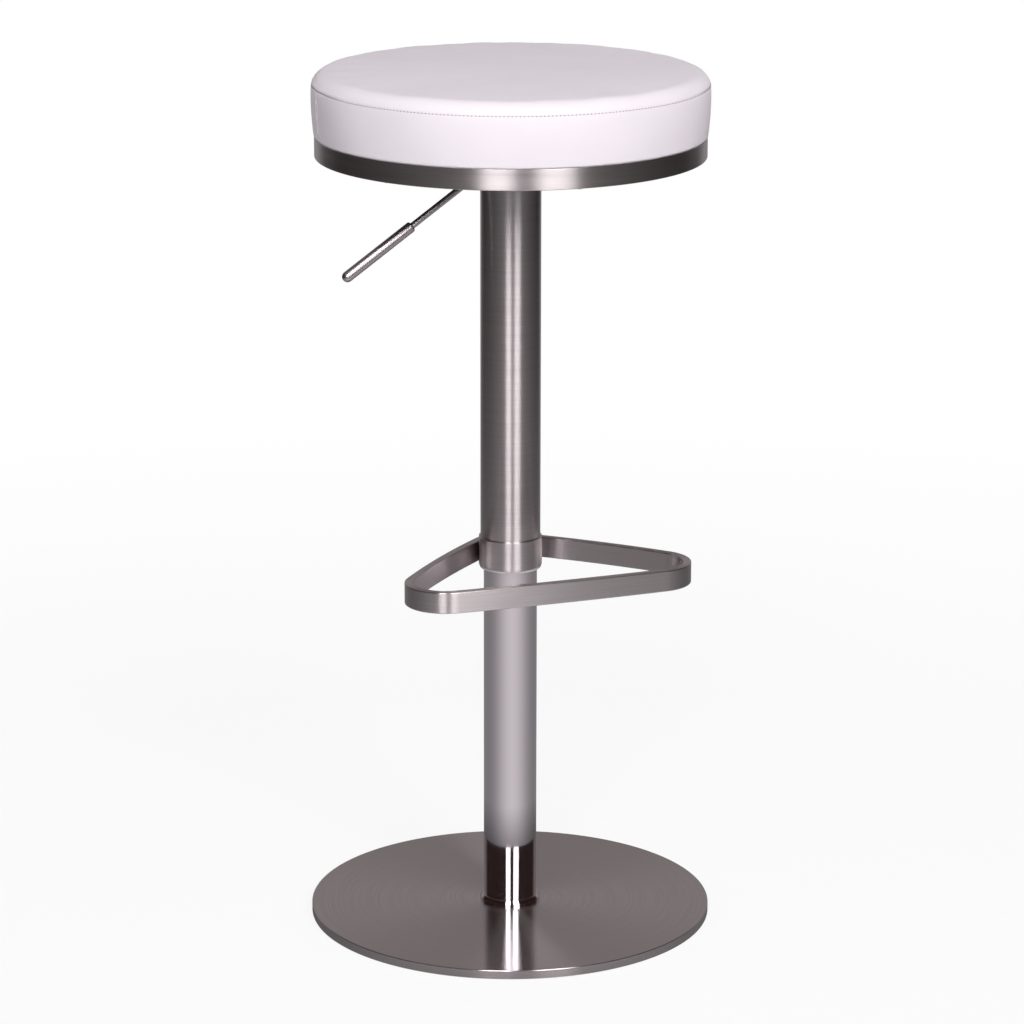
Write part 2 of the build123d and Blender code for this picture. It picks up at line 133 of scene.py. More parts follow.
def tint(tree, shader, pattern, first, second, start=0.3, end=0.7):
    """Takes the base colour from one hex colour to another while a pattern runs from start to end."""
    share = add(tree, "ShaderNodeMapRange", (pattern, start, end))
    mix = add(tree, "ShaderNodeMix", {"Factor": share, "A": linear(first), "B": linear(second)},
              data_type="RGBA")
    tree.links.new(mix.outputs["Result"], shader.inputs["Base Color"])


def roughen(tree, shader, pattern, low, high, start=0.3, end=0.7):
    """Takes the roughness from low to high while a pattern runs from start to end."""
    share = add(tree, "ShaderNodeMapRange", (pattern, start, end, low, high))
    tree.links.new(share.outputs[0], shader.inputs["Roughness"])


def relief(tree, shader, *layers):
    """Layers of (pattern, depth in mm, strength), each over the one before, on the shader's normal."""
    under = {}
    for pattern, depth, strength in layers:
        bump = add(tree, "ShaderNodeBump", {"Height": pattern, "Strength": strength, "Distance": depth * MM,
                                            **under})
        under = {"Normal": bump}
    tree.links.new(bump.outputs[0], shader.inputs["Normal"])


def brushed_stainless(name, lay, roughness, pull, shades=("cbc4c6", "d6d0d1")):
    """Ground 1.4301 stainless steel. Its parallel scratches smear each reflection across them, so lights
    turn into soft bands, and a faint streakiness shows the direction of the belt."""
    material, tree, shader, place = finish(name, shades[0], roughness, 1.0, Anisotropic=pull,
                                           Anisotropic_Rotation=0.25)
    if lay == "along":                       # flat bar: the UV map runs along it in metres
        place = add(tree, "ShaderNodeUVMap", uv_map="along_bar")
        pulls = ((9, 2600, 1), (16, 700, 1))
        tangent = add(tree, "ShaderNodeTangent", direction_type="UV_MAP", uv_map="along_bar")
    else:
        if lay == "disc":                    # rings round the middle: radius stands in for height
            x, y, _ = add(tree, "ShaderNodeSeparateXYZ", (place,)).outputs
            flat = add(tree, "ShaderNodeCombineXYZ", (x, y))
            reach = add(tree, "ShaderNodeVectorMath", (flat,), operation="LENGTH").outputs["Value"]
            place = add(tree, "ShaderNodeCombineXYZ", (x, y, reach))
        pulls = ((9, 9, 2600), (14, 14, 700))
        tangent = add(tree, "ShaderNodeTangent", direction_type="RADIAL", axis="Z")
    tree.links.new(tangent.outputs[0], shader.inputs["Tangent"])
    # real scratches are 0.05 mm apart; these are 0.4 mm and the coarser streaks 1.5 mm, so that they show
    fine = grain(tree, place, 1.0, 2.0, 0.6, pulls[0])
    coarse = grain(tree, place, 1.0, 2.0, 0.5, pulls[1])
    both = add(tree, "ShaderNodeMath", (fine, coarse), operation="ADD")
    streaks = add(tree, "ShaderNodeMath", (both, 0.5), operation="MULTIPLY")
    tint(tree, shader, streaks, *shades, 0.35, 0.65)
    roughen(tree, shader, streaks, roughness * 0.9, roughness * 1.1, 0.35, 0.65)
    relief(tree, shader, (fine, 0.01, 0.35))
    return material


def polished_chrome(name):
    """Bright nickel-chrome plate: a clear mirror with a breath of haze where hands wipe it."""
    material, tree, shader, place = finish(name, "d3cdd1", 0.045, 1.0)
    roughen(tree, shader, grain(tree, place, 28, 4), 0.0315, 0.072)
    relief(tree, shader, (grain(tree, place, 900, 2), 0.002, 0.15))
    return material


def satin_chrome(name):
    """Chrome over a finely polished bar: smooth, with every reflection a little blurred."""
    material, tree, shader, place = finish(name, "c6bfc1", 0.36, 1.0)
    roughen(tree, shader, grain(tree, place, 60, 3), 0.34, 0.39)
    return material


def leatherette(name):
    """White PVC-coated fabric with a fine pebbled grain. It lights up softly, a touch lilac, and keeps a
    dull satin gleam on the grain's tops."""
    material, tree, shader, place = finish(name, "ece6ed", 0.5, IOR=1.5, Sheen_Weight=0.04,
                                           Sheen_Roughness=0.5)
    tint(tree, shader, grain(tree, place, 9, 3), "eae4eb", "efe9ef")
    roughen(tree, shader, grain(tree, place, 60, 3), 0.44, 0.56)
    # pebbles of 1.1 mm, twice the real grain, so that it shows
    pebbles = add(tree, "ShaderNodeTexVoronoi", {"Vector": place, "Scale": 900.0, "Smoothness": 0.6,
                                                 "Randomness": 0.95}, feature="SMOOTH_F1")
    relief(tree, shader, (pebbles, 0.07, 0.5), (grain(tree, place, 2400, 3, 0.6), 0.02, 0.4))
    return material


def moulded_plastic(name, colour, roughness, other):
    """Injection-moulded nylon or polypropylene with the mould's fine spark-eroded texture."""
    material, tree, shader, place = finish(name, colour, roughness, IOR=1.5)
    tint(tree, shader, grain(tree, place, 40, 3), colour, other)
    relief(tree, shader, (grain(tree, place, 1400, 3), 0.015, 0.6))
    return material


def powder_coat(name):
    """Black polyester powder coat baked on pressed steel: satin, with a slight orange peel."""
    material, tree, shader, place = finish(name, "131314", 0.42, IOR=1.5)
    tint(tree, shader, grain(tree, place, 30, 4), "101011", "191919")
    relief(tree, shader, (grain(tree, place, 380, 2), 0.06, 0.5))
    return material


def zinc_plate(name):
    """Blue-passivated zinc on pressed or turned steel: dull silver with cloudy, faintly blue patches."""
    material, tree, shader, place = finish(name, "b9bdc2", 0.34, 1.0)
    clouds = grain(tree, place, 220, 5, 0.65)
    tint(tree, shader, clouds, "a9adb4", "c9cacb")
    roughen(tree, shader, clouds, 0.26, 0.45)
    return material


def machined_metal(name, colour, other, roughness):
    """Ground or turned metal with fine tool marks across the axis."""
    material, tree, shader, place = finish(name, colour, roughness, 1.0)
    marks = grain(tree, place, 1.0, 3, 0.5, (40, 40, 2400))
    tint(tree, shader, marks, colour, other)
    roughen(tree, shader, marks, roughness * 0.8, roughness * 1.3)
    return material


def cast_iron(name):
    """Raw grey iron plate with a sandy cast skin and a little rust bloom."""
    material, tree, shader, place = finish(name, "3a3735", 0.62, 0.6)
    tint(tree, shader, grain(tree, place, 18, 5, 0.6), "3b3938", "54402f", 0.45, 0.7)
    relief(tree, shader, (grain(tree, place, 300, 6, 0.7), 0.25, 0.7))
    return material


def rubber(name):
    """Black nitrile rubber: matt, with a bloom of grey dust."""
    material, tree, shader, place = finish(name, "161616", 0.75, IOR=1.52)
    tint(tree, shader, grain(tree, place, 55, 4), "121212", "242322")
    relief(tree, shader, (grain(tree, place, 900, 3), 0.03, 0.6))
    return material


def birch_ply(name):
    """Birch plywood 12 mm thick: pale face veneers with long grain, and ten thin plies at the edge."""
    material, tree, shader, place = finish(name, "c9a878", 0.6, IOR=1.5)
    rings = add(tree, "ShaderNodeTexWave", {"Vector": place, "Scale": 55.0, "Distortion": 9.0, "Detail": 3.0,
                                            "Detail Scale": 1.2}, bands_direction="Y").outputs[1]
    plies = add(tree, "ShaderNodeTexWave", {"Vector": place, "Scale": 130.0}, bands_direction="Z").outputs[1]
    wood = add(tree, "ShaderNodeMix", {"Factor": rings, "A": linear("c39c68"), "B": linear("dcc094")},
               data_type="RGBA").outputs["Result"]
    share = add(tree, "ShaderNodeMapRange", (plies, 0.35, 0.65, 0.0, 0.22))
    dark = add(tree, "ShaderNodeMix", {"Factor": share, "A": wood, "B": linear("8c6238")},
               data_type="RGBA", blend_type="MULTIPLY")
    tree.links.new(dark.outputs["Result"], shader.inputs["Base Color"])
    relief(tree, shader, (grain(tree, place, 1.0, 3, 0.6, (40, 900, 60)), 0.08, 0.5))
    return material


def seat_foam(name):
    """Cream polyurethane foam with open cells."""
    material, tree, shader, place = finish(name, "e6d9a8", 0.9, IOR=1.4)
    cells = add(tree, "ShaderNodeTexVoronoi", {"Vector": place, "Scale": 700.0})
    tint(tree, shader, cells, "cdbd86", "ecdfb2", 0.0, 0.6)
    relief(tree, shader, (cells, 0.4, 0.8))
    return material


def dust_cloth(name):
    """Black spunbonded polypropylene, 80 g/m2: matt felted fibres with embossed dots 2.5 mm apart."""
    material, tree, shader, place = finish(name, "17171a", 0.88, IOR=1.49, Sheen_Weight=0.25,
                                           Sheen_Roughness=0.4)
    fibres = grain(tree, place, 1500, 5, 0.75, distortion=2.0)
    dots = add(tree, "ShaderNodeTexVoronoi", {"Vector": place, "Scale": 400.0, "Randomness": 0.0})
    tint(tree, shader, fibres, "111113", "2a2a2e")
    relief(tree, shader, (fibres, 0.1, 0.8), (add(tree, "ShaderNodeMapRange", (dots, 0.1, 0.35)), 0.12, 0.7))
    return material


def sewing_thread(name):
    """White bonded polyester thread, No. 40: three plies twisted, with a silky glint. Its colour is painted
    greyer than the cover, as painted shade for the shade that each stitch sits in."""
    # painted shade: the grey base colour and the darker twist tones
    material, tree, shader, place = finish(name, "cfc8cf", 0.55, IOR=1.55, Sheen_Weight=0.1)
    twist = grain(tree, place, 3500, 2)
    tint(tree, shader, twist, "b5aeb5", "d8d1d8")
    relief(tree, shader, (twist, 0.05, 0.8))
    return material


def needle_hole_painted_shade():
    """Painted shade: a grey, much darker than the white cover, that stands for the shaded dip that the
    needle leaves in the cover between two stitches.
    """
    material, tree, shader, place = finish("leatherette_in_a_dip", "8f878d", 0.75)
    tint(tree, shader, grain(tree, place, 300, 2), "8a8288", "968e94", 0.0, 1.0)
    return material


FINISH = {
    # the needle holes' grey is painted shade
    "needle_hole_painted_shade": needle_hole_painted_shade(),
    "satin_chrome": satin_chrome("satin_chrome"),
    "steel_disc": brushed_stainless("brushed_stainless_disc", "disc", 0.215, 1.0),
    "steel_round": brushed_stainless("brushed_stainless_round", "round", 0.335, 0.96),
    "steel_bar": brushed_stainless("brushed_stainless_bar", "along", 0.32, 0.98),
    "chrome": polished_chrome("polished_chrome_plate"),
    "leatherette": leatherette("white_leatherette"),
    "thread": sewing_thread("white_polyester_thread"),
    "grey_plastic": moulded_plastic("light_grey_nylon", "bdb8ba", 0.4, "c6c1c3"),
    "black_plastic": moulded_plastic("black_polypropylene", "151516", 0.5, "1d1d1e"),
    "coated": powder_coat("black_powder_coat"),
    "zinc": zinc_plate("zinc_plated_steel"),
    "bearing_steel": machined_metal("ground_bearing_steel", "b9b9bb", "cfcfd1", 0.18),
    "brass": machined_metal("turned_brass", "c79a4b", "d8b060", 0.25),
    "iron": cast_iron("cast_iron"),
    "rubber": rubber("black_rubber"),
    "ply": birch_ply("birch_plywood"),
    "foam": seat_foam("polyurethane_foam"),
    "cloth": dust_cloth("spunbonded_dust_cloth"),
}

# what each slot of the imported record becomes
SLOT_FINISH = {
    "brushed_stainless": "steel_round", "polished_chrome": "chrome", "zinc_steel": "zinc",
    "bearing_steel": "bearing_steel", "ballast_iron": "iron", "black_coated_steel": "coated",
    "grey_plastic": "grey_plastic", "black_plastic": "black_plastic", "black_rubber": "rubber",
    "valve_brass": "brass", "plywood": "ply", "seat_foam": "foam", "white_leatherette": "leatherette",
    "black_cloth": "cloth",
}


def finish_packed_parts():
    """Gives every part that is carried over the finish of its slot in the record."""
    for row in frame["record"]["subparts"]:
        mesh = frame["nodes"][row["node"]].data
        mesh.materials.clear()
        mesh.materials.append(FINISH[SLOT_FINISH[row["material_slot"]]])


# ---------------------------------------------------------------- shapes
def softened(corners, steps=5, land=0.12):
    """An outline from (x, y, edge radius) corners, each edge rounded. A short straight land on both sides
    of every round keeps the flats flat under smooth shading."""
    points = []
    for i, (x, y, edge) in enumerate(corners):
        here = Vector((x, y))
        if edge <= 0:
            points.append(here)
            continue
        back = (Vector(corners[i - 1][:2]) - here).normalized()
        ahead = (Vector(corners[(i + 1) % len(corners)][:2]) - here).normalized()
        half = back.angle(ahead) / 2
        reach = edge / math.tan(half)
        centre = here + (back + ahead).normalized() * (edge / math.sin(half))
        start, end = here + back * reach - centre, here + ahead * reach - centre
        points.append(here + back * (reach + land))
        turn = start.angle_signed(end)
        for k in range(steps + 1):
            points.append(centre + Matrix.Rotation(-turn * k / steps, 2) @ start)
        points.append(here + ahead * (reach + land))
    return [tuple(p) for p in points]


def turned(outline, angles=ROUND_STEPS):
    """A closed skin turned about Z from (radius, height) points in mm that run anticlockwise."""
    if isinstance(angles, int):
        angles = [2 * math.pi * i / angles for i in range(angles)]
    made = bmesh.new()
    rings = []
    for r, z in outline:
        if r < 1e-6:
            rings.append([made.verts.new((0, 0, z * MM))])
        else:
            rings.append([made.verts.new((r * math.cos(a) * MM, r * math.sin(a) * MM, z * MM))
                          for a in angles])
    count = len(angles)
    for low, high in zip(rings, rings[1:] + rings[:1]):
        for j in range(count):
            k = (j + 1) % count
            corners = [low[j % len(low)], low[k % len(low)], high[k % len(high)], high[j % len(high)]]
            corners = list(dict.fromkeys(corners))
            if len(corners) > 2:
                made.faces.new(corners)
    return meshed(made)


def piece(name, mesh, look, body, replaces=(), sharp=35.0):
    """A finished piece: its mesh, its finish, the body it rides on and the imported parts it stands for."""
    made = linked(name, mesh)
    mesh.name = name
    mesh.materials.clear()
    mesh.materials.append(FINISH[look])
    mesh.polygons.foreach_set("use_smooth", [True] * len(mesh.polygons))
    mesh.set_sharp_from_angle(angle=math.radians(sharp))
    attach(made, body)
    if replaces:
        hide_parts(*replaces)
    return made


def box_mesh(sides, edge):
    """A block with rounded edges, sizes in mm."""
    made = bmesh.new()
    bmesh.ops.create_cube(made, size=1.0)
    bmesh.ops.scale(made, vec=Vector(sides) * MM, verts=made.verts)
    bmesh.ops.bevel(made, geom=made.edges[:], offset=edge * MM, segments=2, profile=0.5, affect="EDGES")
    return meshed(made)


# ---------------------------------------------------------------- foot and column
TUBE_WALL, SLEEVE_WALL = 2.0, 1.5      # mm


def build_foot():
    radius, low, high = size("base_cover")
    bore = size("column_tube")[0] - TUBE_WALL
    sheet = 1.2
    outline = softened([(radius, low, 0.35), (radius, high, 0.9), (bore, high, 0), (bore, high - sheet, 0),
                        (radius - sheet, high - sheet, 0.4), (radius - sheet, low, 0.35)])
    piece("foot_cover", turned(outline, 320), "steel_disc", "base", ["base_cover"])

    outer, low, high = size("column_trim_ring")
    tube = size("column_tube")[0]
    outline = softened([(outer, low, 0), (outer, low + 3.0, 2.4), (tube + 1.3, high, 0.9),
                        (tube + 0.05, high, 0), (tube + 0.05, low, 0)])
    piece("column_foot_ring", turned(outline), "chrome", "base", ["column_trim_ring"])


def build_column():
    tube, low, high = size("column_tube")
    inner = tube - TUBE_WALL
    outline = softened([(tube, low, 0), (tube, high, 0.4), (inner, high, 0.3), (inner, low, 0)])
    piece("column_tube_polished", turned(outline), "chrome", "base", ["column_tube"])

    sleeve, mouth, high = size("outer_sleeve")
    inner = sleeve - SLEEVE_WALL
    outline = softened([(sleeve, mouth, 0.2), (sleeve, high, 0.3), (inner, high, 0.2), (inner, mouth, 0.2)])
    piece("sleeve_brushed", turned(outline), "steel_round", "seat_column",
          ["outer_sleeve"])

    lip, low, high = size("sleeve_guide_bush")
    bore = tube + 0.08
    outline = softened([(lip, low, 0.5), (lip, mouth, 0), (inner, mouth, 0), (inner, high, 0),
                        (bore, high, 0), (bore, low, 0.3)])
    piece("sleeve_bush_moulded", turned(outline), "grey_plastic", "seat_column",
          ["sleeve_guide_bush"])

    collar, low, high = size("footrest_collar")
    outline = softened([(collar, low, 0.5), (collar, high, 0.5), (sleeve + 0.01, high, 0.3),
                        (sleeve + 0.01, low, 0.2)])
    piece("collar_brushed", turned(outline), "steel_round", "seat_column",
          ["footrest_collar"])


# ---------------------------------------------------------------- footrest
CORNERS = ((0.0, 0.0), (102.0, -103.0), (-102.0, -103.0))     # middles of the three bends, mm
BOWS = (3.0, 2.0, 3.0)                                         # how far each side bows out, mm
BAR_THICK = 8.0


def bar_stations(reach, spacing=1.5):
    """(point, outward direction, distance) along the closed line that runs reach mm outside the bends'
    middles, clockwise seen from above."""
    sides = []
    for i, bow in enumerate(BOWS):
        start, end = Vector(CORNERS[i]), Vector(CORNERS[(i + 1) % 3])
        chord = end - start
        radius = (chord.length_squared / 4 + bow * bow) / (2 * bow)
        outward = Vector((-chord.y, chord.x)).normalized()
        centre = (start + end) / 2 - outward * (radius - bow)
        sides.append((centre, start - centre, end - centre, radius))
    line = []
    for i, (centre, start, end, radius) in enumerate(sides):
        def sweep(middle, first, last, r):
            turn = first.angle_signed(last)
            steps = max(6, round(abs(turn) * r / spacing))
            for k in range(steps):
                way = (Matrix.Rotation(-turn * k / steps, 2) @ first).normalized()
                line.append((middle + way * r, way))
        sweep(centre, start, end, radius + reach)
        bend = Vector(CORNERS[(i + 1) % 3])
        sweep(bend, end, sides[(i + 1) % 3][1], reach)
    stations, travelled = [], 0.0
    for k, (point, way) in enumerate(line):
        if k:
            travelled += (point - line[k - 1][0]).length
        stations.append((point, way, travelled))
    return stations, travelled + (line[0][0] - line[-1][0]).length


def build_footrest():
    """Flat bar 20 x 8 mm on edge, bent into a triangle and welded shut behind the collar."""
    low, high = size("footrest_loop")[1:]
    half = BAR_THICK / 2
    stations, length = bar_stations(size("footrest_collar")[0] + half)
    section = softened([(half, low, 0.9), (half, high, 0.9), (-half, high, 0.9), (-half, low, 0.9)], 4, 0.2)
    across, run = [0.0], 0.0
    for first, second in zip(section, section[1:] + section[:1]):
        run += (Vector(second) - Vector(first)).length
        across.append(run)
    made = bmesh.new()
    rows = []
    for point, way, _ in stations:
        rows.append([made.verts.new(((point.x + way.x * x) * MM, (point.y + way.y * x) * MM, z * MM))
                     for x, z in section])
    uv = made.loops.layers.uv.new("along_bar")
    count = len(section)
    for i in range(len(rows)):
        nxt = (i + 1) % len(rows)
        start, end = stations[i][2], stations[nxt][2] if nxt else length
        for j in range(count):
            k = (j + 1) % count
            face = made.faces.new([rows[i][j], rows[i][k], rows[nxt][k], rows[nxt][j]])
            places = ((start, across[j]), (start, across[j + 1]), (end, across[j + 1]), (end, across[j]))
            for loop, (u, v) in zip(face.loops, places):
                loop[uv].uv = (u * MM, v * MM)
    bmesh.ops.recalc_face_normals(made, faces=made.faces)
    bar = linked("footrest_bar", meshed(made))
    # two tapped holes for the set screws, bored from behind
    middle = (low + high) / 2 * MM
    drills = []
    for angle in (60, 120):
        drill = bmesh.new()
        bmesh.ops.create_cone(drill, cap_ends=True, segments=40, radius1=3.0 * MM, radius2=3.0 * MM,
                              depth=14 * MM)
        way = Vector((math.cos(math.radians(angle)), math.sin(math.radians(angle)), 0))
        turn = way.to_track_quat("Z", "Y").to_matrix().to_4x4()
        bmesh.ops.transform(drill, matrix=Matrix.Translation(way * 35 * MM + Vector((0, 0, middle))) @ turn,
                            verts=drill.verts)
        drills.append(linked("drill", meshed(drill)))
        cut = bar.modifiers.new("hole", "BOOLEAN")
        cut.object, cut.operation, cut.solver = drills[-1], "DIFFERENCE", "EXACT"
    bored = plain_mesh(bar)
    for tool in drills + [bar]:
        bpy.data.objects.remove(tool)
    piece("footrest_bar_brushed", bored, "steel_bar", "seat_column",
          ["footrest_loop"], 40)


def plain_mesh(made):
    """What an object's modifiers make of it, as a mesh of its own."""
    bpy.context.view_layer.update()
    return bpy.data.meshes.new_from_object(made.evaluated_get(bpy.context.evaluated_depsgraph_get()))


# ---------------------------------------------------------------- lever
LEVER_PIVOT = Vector((-24.0, 0.0, 731.4))
LEVER_SLOPE = math.radians(34.4)


def along_lever(mesh):
    """Carries a mesh turned about Z onto the lever's outer arm, whose foot is the pivot."""
    turn = Matrix.Rotation(-(math.pi / 2 + LEVER_SLOPE), 4, "Y")
    mesh.transform(Matrix.Translation(LEVER_PIVOT * MM) @ turn)
    return mesh


def build_lever():
    rod, grip, start, end = 3.0, 5.2, 89.0, 170.5
    hub = 5.9                        # the rod starts this far from the pivot
    outline = softened([(rod, hub, 0), (rod, start + 2, 0), (0, start + 2, 0), (0, hub, 0)])
    piece("lever_rod_polished", along_lever(turned(outline, 64)), "satin_chrome", "lever",
          ["lever_rod"])
    tip = [(grip * math.cos(t), end - grip + grip * math.sin(t))
           for t in (math.pi / 2 * k / 14 for k in range(15))]
    tip[-1] = (0, end)
    shoulder = softened([(rod - 0.4, start + 0.4, 0), (rod + 0.9, start, 0.3), (grip - 0.9, start, 0.8),
                         (grip, start + 1.2, 0.8), (grip, end - grip, 0)])
    outline = [(0, start + 0.4)] + shoulder[:-1] + tip
    piece("lever_grip_polished", along_lever(turned(outline, 64)), "satin_chrome", "lever",
          ["lever_handle"])


# ---------------------------------------------------------------- seat
SEAM_TURN = math.radians(175.9)      # the band's upright seam lies on the lever's side
SEAM_HEIGHT = 809.0                  # of the seam between the band and the top panel
BAND_FOOT, BAND_RADIUS = 763.0, 184.5
GROOVE, GROOVE_LIP = (184.05, 809.0), (184.2, 808.55)     # the seam's groove and its lower lip


def build_seat_ring():
    radius, low, high = size("seat_trim_ring")
    wall, lip = 1.5, 171.0
    outline = softened([(radius, low, 0.7), (radius, high, 0.45), (radius - wall, high, 0.45),
                        (radius - wall, low + wall, 0.3), (lip, low + wall, 0.3), (lip, low, 0.3)])
    piece("seat_ring_brushed", turned(outline, 320), "steel_round", "seat_column",
          ["seat_trim_ring"])


def cushion_outline(inset=0.0):
    """The cushion's half section from the middle of its underside, out, up and over to the crown, in mm."""
    low = size("seat_board")[2] + 0.2
    top = size("cover_top")[2] - inset
    side = [(177.0, low), (179.2, low + 1.4), (180.1, 759.6), (180.9, 761.3), (181.8, 761.7), (182.4, 762.0),
            (182.75, 762.7), (182.95, 764.2), (183.25, 767), (183.65, 771), (184.15, 777), (184.6, 784),
            (184.9, 791), (185.0, 797), (184.9, 802), (184.7, 805.6), (184.55, 807.2)]
    groove = [(184.4, 808.0), GROOVE_LIP, GROOVE, (184.05, 809.5), (184.05, 810.0)]
    edge_r, shoulder_r, shoulder_z = 15.0, 170.0, 820.6
    edge = []
    for k in range(13):
        t = math.radians(20 + 68 * k / 12)
        edge.append((shoulder_r - 0.2 + edge_r * math.cos(t), shoulder_z - edge_r + edge_r * math.sin(t)))
    crown = [(r, shoulder_z + (top - shoulder_z) * (1 - (r / shoulder_r) ** 2))
             for r in (166, 160, 152, 142, 130, 116, 100, 84, 68, 52, 36, 22, 10, 0)]
    body = [(0, low), (60, low), (120, low), (160, low)] + side + groove + edge + crown
    if inset:
        body = [(max(0.0, r - inset) if z > low + 4 else r, z) for r, z in body]
    return body


def seat_angles():
    """Even steps round the cushion, with close ones at the upright seam."""
    even = [2 * math.pi * i / 448 for i in range(448)]
    apart = (.06, .13, .2, .28, .38, .5, .65, .8, 1.0, 1.3, 1.7, 2.2)
    close = [SEAM_TURN] + [SEAM_TURN + math.radians(side * d) for side in (-1, 1) for d in apart]
    kept = [a for a in even if abs(a - SEAM_TURN) > math.radians(2.4)]
    return sorted(kept + close)


def blown_up():
    """How far air under the cover lifts it: cloth simulation on a slightly smaller cushion.
    Returns the places of the start mesh and how each moved."""
    start = linked("cushion_start", turned(cushion_outline(1.5), 160))
    remesh = start.modifiers.new("voxels", "REMESH")
    remesh.mode, remesh.voxel_size = "VOXEL", 6 * MM
    mesh = plain_mesh(start)
    bpy.data.objects.remove(start)
    cushion = linked("cushion_cloth", mesh)
    # the foam isn't quite even, so the cover starts with low hollows up to 0.9 mm deep
    for v in mesh.vertices:
        hollow = noise.noise(v.co * 14.0) * 0.9 + noise.noise(v.co * 34.0) * 0.35
        up = 1.0 if v.co.z > 0.815 else 0.0
        v.co += (Vector((0, 0, 1)) * up + outward(v.co) * (1 - up)) * hollow * MM
    rest = [v.co.copy() for v in mesh.vertices]
    held = cushion.vertex_groups.new(name="held")
    held.add([v.index for v in mesh.vertices if v.co.z < 0.7635 or abs(v.co.z - 0.809) < 0.0035], 1.0, "ADD")
    cloth = cushion.modifiers.new("cover", "CLOTH").settings
    cloth.quality = 6
    cloth.mass = 0.4
    cloth.use_pressure = True
    cloth.uniform_pressure_force = 4.0
    cloth.effector_weights.gravity = 0.0
    cloth.vertex_group_mass = "held"
    cloth.tension_stiffness = cloth.compression_stiffness = 25
    cloth.bending_stiffness = 1.5
    scene = bpy.context.scene
    scene.frame_start, scene.frame_end = 1, 20
    for step in range(1, 21):
        scene.frame_set(step)
    swollen = plain_mesh(cushion)
    moved = [swollen.vertices[i].co - rest[i] for i in range(len(rest))]
    scene.frame_set(1)
    bpy.data.objects.remove(cushion)
    most = 5 * MM
    moved = [m * min(1.0, most / m.length) if m.length > 0 else m for m in moved]
    return rest, moved


def bell(distance, width):
    """1 in the middle, fading away to both sides."""
    return math.exp(-(distance / width) ** 2)


def turn_from(place, turn):
    """How far one turn lies past another, between minus and plus half a turn."""
    return (turn - place + math.pi) % (2 * math.pi) - math.pi


def puff_up(mesh, low):
    """Puts a share of the blown-up cover's unevenness on the cushion, up to 0.28 mm either way."""
    rest, moved = blown_up()
    tree = kdtree.KDTree(len(rest))
    for i, place in enumerate(rest):
        tree.insert(place, i)
    tree.balance()
    rings, lifts = {}, []
    for v in mesh.vertices:
        near = tree.find_n(v.co, 10)
        weights = [1 / (d + 0.002) ** 2 for _, _, d in near]
        # where the cover ends up: the start mesh with its hollows, and what the air adds
        place = sum(((rest[i] + moved[i] - p) * w for (p, i, _), w in zip(near, weights)),
                    Vector()) / sum(weights)
        key = (round(math.hypot(v.co.x, v.co.y) / MM, 1), round(v.co.z / MM, 1))
        lifts.append((key, v.normal.dot(place)))
        rings.setdefault(key, []).append(lifts[-1][1])
    mean = {key: sum(values) / len(values) for key, values in rings.items()}
    for v, (key, lift) in zip(mesh.vertices, lifts):
        if v.co.z > (low + 8) * MM:
            v.co += v.normal * 0.4 * max(-0.7 * MM, min(0.7 * MM, lift - mean[key]))


def build_cushion():
    """Round foam cushion: a top panel sewn to a band, with one upright seam in the band."""
    angles = seat_angles()
    outline = cushion_outline()
    mesh = turned(outline, angles)
    puff_up(mesh, outline[0][1])
    # what the sewing does to the cover
    for v in mesh.vertices:
        z = v.co.z / MM
        turn = math.atan2(v.co.y, v.co.x)
        aside = turn_from(SEAM_TURN, turn) * BAND_RADIUS
        along = turn * BAND_RADIUS
        shift = 0.0
        if BAND_FOOT < z < SEAM_HEIGHT:
            fade = min(1.0, (z - BAND_FOOT) / 3) * min(1.0, SEAM_HEIGHT - z)
            # the seam's valley, and the doubled cover beside it
            shift -= 0.85 * bell(aside, 0.55) * fade
            shift += 0.32 * fade * (0.5 - 0.5 * math.tanh((abs(aside) - 5.2) * 1.1))
            shift += 0.22 * bell(abs(aside) - 11, 6) * math.sin(z * 0.55) * fade
        if z > 795:
            # where the band's ends meet, the seam lies deeper under a welt, and less so on the far side
            for place, span, depth in ((SEAM_TURN, 15.0, 1.0), (SEAM_TURN + math.radians(148), 11.0, 0.45)):
                part = depth * math.exp(-(math.degrees(turn_from(place, turn)) / span) ** 4)
                shift += part * (0.5 * bell(z - 811.6, 1.5) - 0.7 * bell(z - 809.1, 0.6))
            shift += 0.45 * bell(aside, 3.2) * bell(z - 810.2, 2.2)
            pucker = math.sin(along * 2 * math.pi / 11.3 + 3 * noise.noise(Vector((along * 0.02, 0, 1.7))))
            shift += 0.13 * pucker * bell(z - SEAM_HEIGHT, 4.5)
        v.co += outward(v.co) * shift * MM
    mesh.update()
    cushion = piece("seat_cushion", mesh, "leatherette", "seat_column",
                    ["cover_top", "cover_band", "seat_foam"], 70)
    return cushion, outline, angles


# ---------------------------------------------------------------- things that repeat
def new_tree(name, inputs):
    """A Geometry Nodes tree with named inputs; returns it, its input node and each input's identifier."""
    tree = bpy.data.node_groups.new(name, "GeometryNodeTree")
    tree.is_modifier = True
    tree.interface.new_socket("Geometry", in_out="INPUT", socket_type="NodeSocketGeometry")
    tree.interface.new_socket("Geometry", in_out="OUTPUT", socket_type="NodeSocketGeometry")
    keys = {}
    for label, kind in inputs:
        socket = tree.interface.new_socket(label, in_out="INPUT", socket_type="NodeSocket" + kind)
        keys[label] = socket.identifier
    return tree, add(tree, "NodeGroupInput"), keys


def close_tree(tree, given, copies):
    """Makes the copies real, gives them their finish and hands them on."""
    real = add(tree, "GeometryNodeRealizeInstances", {"Geometry": copies})
    done = add(tree, "GeometryNodeSetMaterial", {"Geometry": real, "Material": given.outputs["Finish"]})
    add(tree, "NodeGroupOutput", {"Geometry": done})


